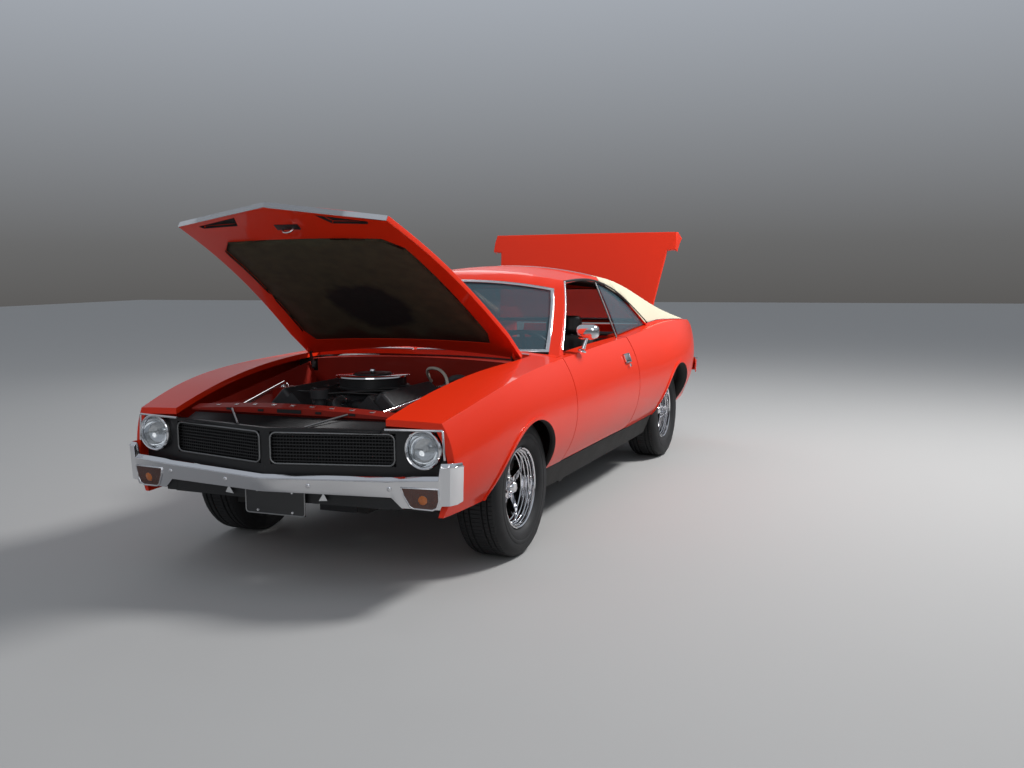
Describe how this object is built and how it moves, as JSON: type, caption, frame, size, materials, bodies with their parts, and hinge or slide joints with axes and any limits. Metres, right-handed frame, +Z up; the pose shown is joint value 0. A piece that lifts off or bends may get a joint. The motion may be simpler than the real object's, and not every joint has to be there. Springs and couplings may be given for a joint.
{
  "type": "muscle car",
  "caption": "Two-door hardtop coupe with vinyl roof, sail panels, open hood over a V8 and raised trunk lid.",
  "frame": {"origin": "on the ground, midway between the ends and sides of the car", "axes": "+X to the car's left, +Y to its rear, +Z up"},
  "size_m": [1.8212, 4.806, 1.637],
  "materials": {
    "orange_paint": "gloss",
    "vinyl": "grained satin",
    "black_trim": "satin",
    "black_vinyl": "satin",
    "clear_glass": "clear",
    "lamp_glass": "ribbed",
    "chrome_plate": "polished",
    "wheel_chrome": "polished",
    "tyre_rubber": "matt",
    "amber_lens": "ribbed",
    "hose_rubber": "matt",
    "red_lens": "ribbed",
    "engine_iron": "dull",
    "undercoat": "dull",
    "bare_steel": "dull"
  },
  "bodies": {
    "chassis": {"fender_left": "orange_paint", "fender_right": "orange_paint", "quarter_left": "orange_paint", "quarter_right": "orange_paint", "roof": "vinyl", "cowl_panel": "orange_paint", "tail_panel": "orange_paint", "radiator_support": "orange_paint", "engine_bay": "orange_paint", "front_valance": "black_trim", "windshield": "clear_glass", "rear_window": "clear_glass", "quarter_glass": "clear_glass", "headlamp_housings": "chrome_plate", "headlamp_glass": "lamp_glass", "grille": "black_trim", "front_bumper": "chrome_plate", "rear_bumper": "chrome_plate", "parking_lamps": "amber_lens", "tail_lamps": "red_lens", "engine": "engine_iron", "air_cleaner": "black_trim", "hoses": "hose_rubber", "bay_equipment": "black_trim", "underbody": "undercoat", "exhaust": "bare_steel", "fuel_tank": "undercoat", "rear_axle": "undercoat", "front_suspension": "undercoat", "front_seats": "black_vinyl", "rear_seat": "black_vinyl", "dashboard": "black_vinyl", "rails": "undercoat", "sills": "undercoat", "wheelhouses": "undercoat"},
    "hood": {"hood": "orange_paint"},
    "hood_arms": {"hood_arms": "bare_steel"},
    "trunk_lid": {"trunk_lid": "orange_paint"},
    "door_left": {"door_left": "orange_paint", "door_mirror": "chrome_plate"},
    "door_right": {"door_right": "orange_paint"},
    "steering_wheel": {"steering_wheel": "black_trim"},
    "knuckle_left": {"knuckle_left": "undercoat"},
    "knuckle_right": {"knuckle_right": "undercoat"},
    "wheel_front_left": {"tire_front_left": "tyre_rubber", "rim_front_left": "wheel_chrome"},
    "wheel_front_right": {"tire_front_right": "tyre_rubber", "rim_front_right": "wheel_chrome"},
    "wheel_rear_left": {"tire_rear_left": "tyre_rubber", "rim_rear_left": "wheel_chrome"},
    "wheel_rear_right": {"tire_rear_right": "tyre_rubber", "rim_rear_right": "wheel_chrome"}
  },
  "joints": [
    {"name": "steer_left", "type": "hinge", "parent": "chassis", "child": "knuckle_left", "pos_m": [0.678, -1.484, 0.325], "axis": [0, 0, 1], "range_deg": [-33, 33]},
    {"name": "steer_right", "type": "hinge", "parent": "chassis", "child": "knuckle_right", "pos_m": [-0.678, -1.484, 0.325], "axis": [0, 0, 1], "range_deg": [-33, 33]},
    {"name": "steering_wheel_turn", "type": "hinge", "parent": "chassis", "child": "steering_wheel", "pos_m": [0.365, -0.304, 0.795], "axis": [0, 0.963, 0.2696], "range_deg": [-400, 400]},
    {"name": "wheel_front_left_spin", "type": "hinge", "parent": "knuckle_left", "child": "wheel_front_left", "pos_m": [0.718, -1.484, 0.325], "axis": [1, 0, 0], "continuous": true},
    {"name": "wheel_front_right_spin", "type": "hinge", "parent": "knuckle_right", "child": "wheel_front_right", "pos_m": [-0.718, -1.484, 0.325], "axis": [1, 0, 0], "continuous": true},
    {"name": "wheel_rear_left_spin", "type": "hinge", "parent": "chassis", "child": "wheel_rear_left", "pos_m": [0.69, 1.285, 0.325], "axis": [1, 0, 0], "continuous": true},
    {"name": "wheel_rear_right_spin", "type": "hinge", "parent": "chassis", "child": "wheel_rear_right", "pos_m": [-0.69, 1.285, 0.325], "axis": [1, 0, 0], "continuous": true},
    {"name": "door_left_hinge", "type": "hinge", "parent": "chassis", "child": "door_left", "pos_m": [0.884, -0.874, 0.6], "axis": [0, 0, 1], "range_deg": [-60, 0]},
    {"name": "door_right_hinge", "type": "hinge", "parent": "chassis", "child": "door_right", "pos_m": [-0.884, -0.874, 0.6], "axis": [0, 0, 1], "range_deg": [0, 60]},
    {"name": "hood_arm_pivot", "type": "hinge", "parent": "chassis", "child": "hood_arms", "pos_m": [0, -1.0571, 0.8184], "axis": [1, 0, 0], "range_deg": [-77, 0]},
    {"name": "hood_hinge", "type": "hinge", "parent": "hood_arms", "child": "hood", "pos_m": [0, -1.082, 0.9043], "axis": [1, 0, 0], "range_deg": [0, 113.2]},
    {"name": "trunk_lid_hinge", "type": "hinge", "parent": "chassis", "child": "trunk_lid", "pos_m": [0, 1.547, 0.957], "axis": [1, 0, 0], "range_deg": [-70, 0]}
  ],
  "couplings": [
    {"joint": "steer_right", "follows": "steer_left", "ratio": 1},
    {"joint": "steering_wheel_turn", "follows": "steer_left", "ratio": 12},
    {"joint": "hood_arm_pivot", "follows": "hood_hinge", "ratio": -0.6802}
  ]
}
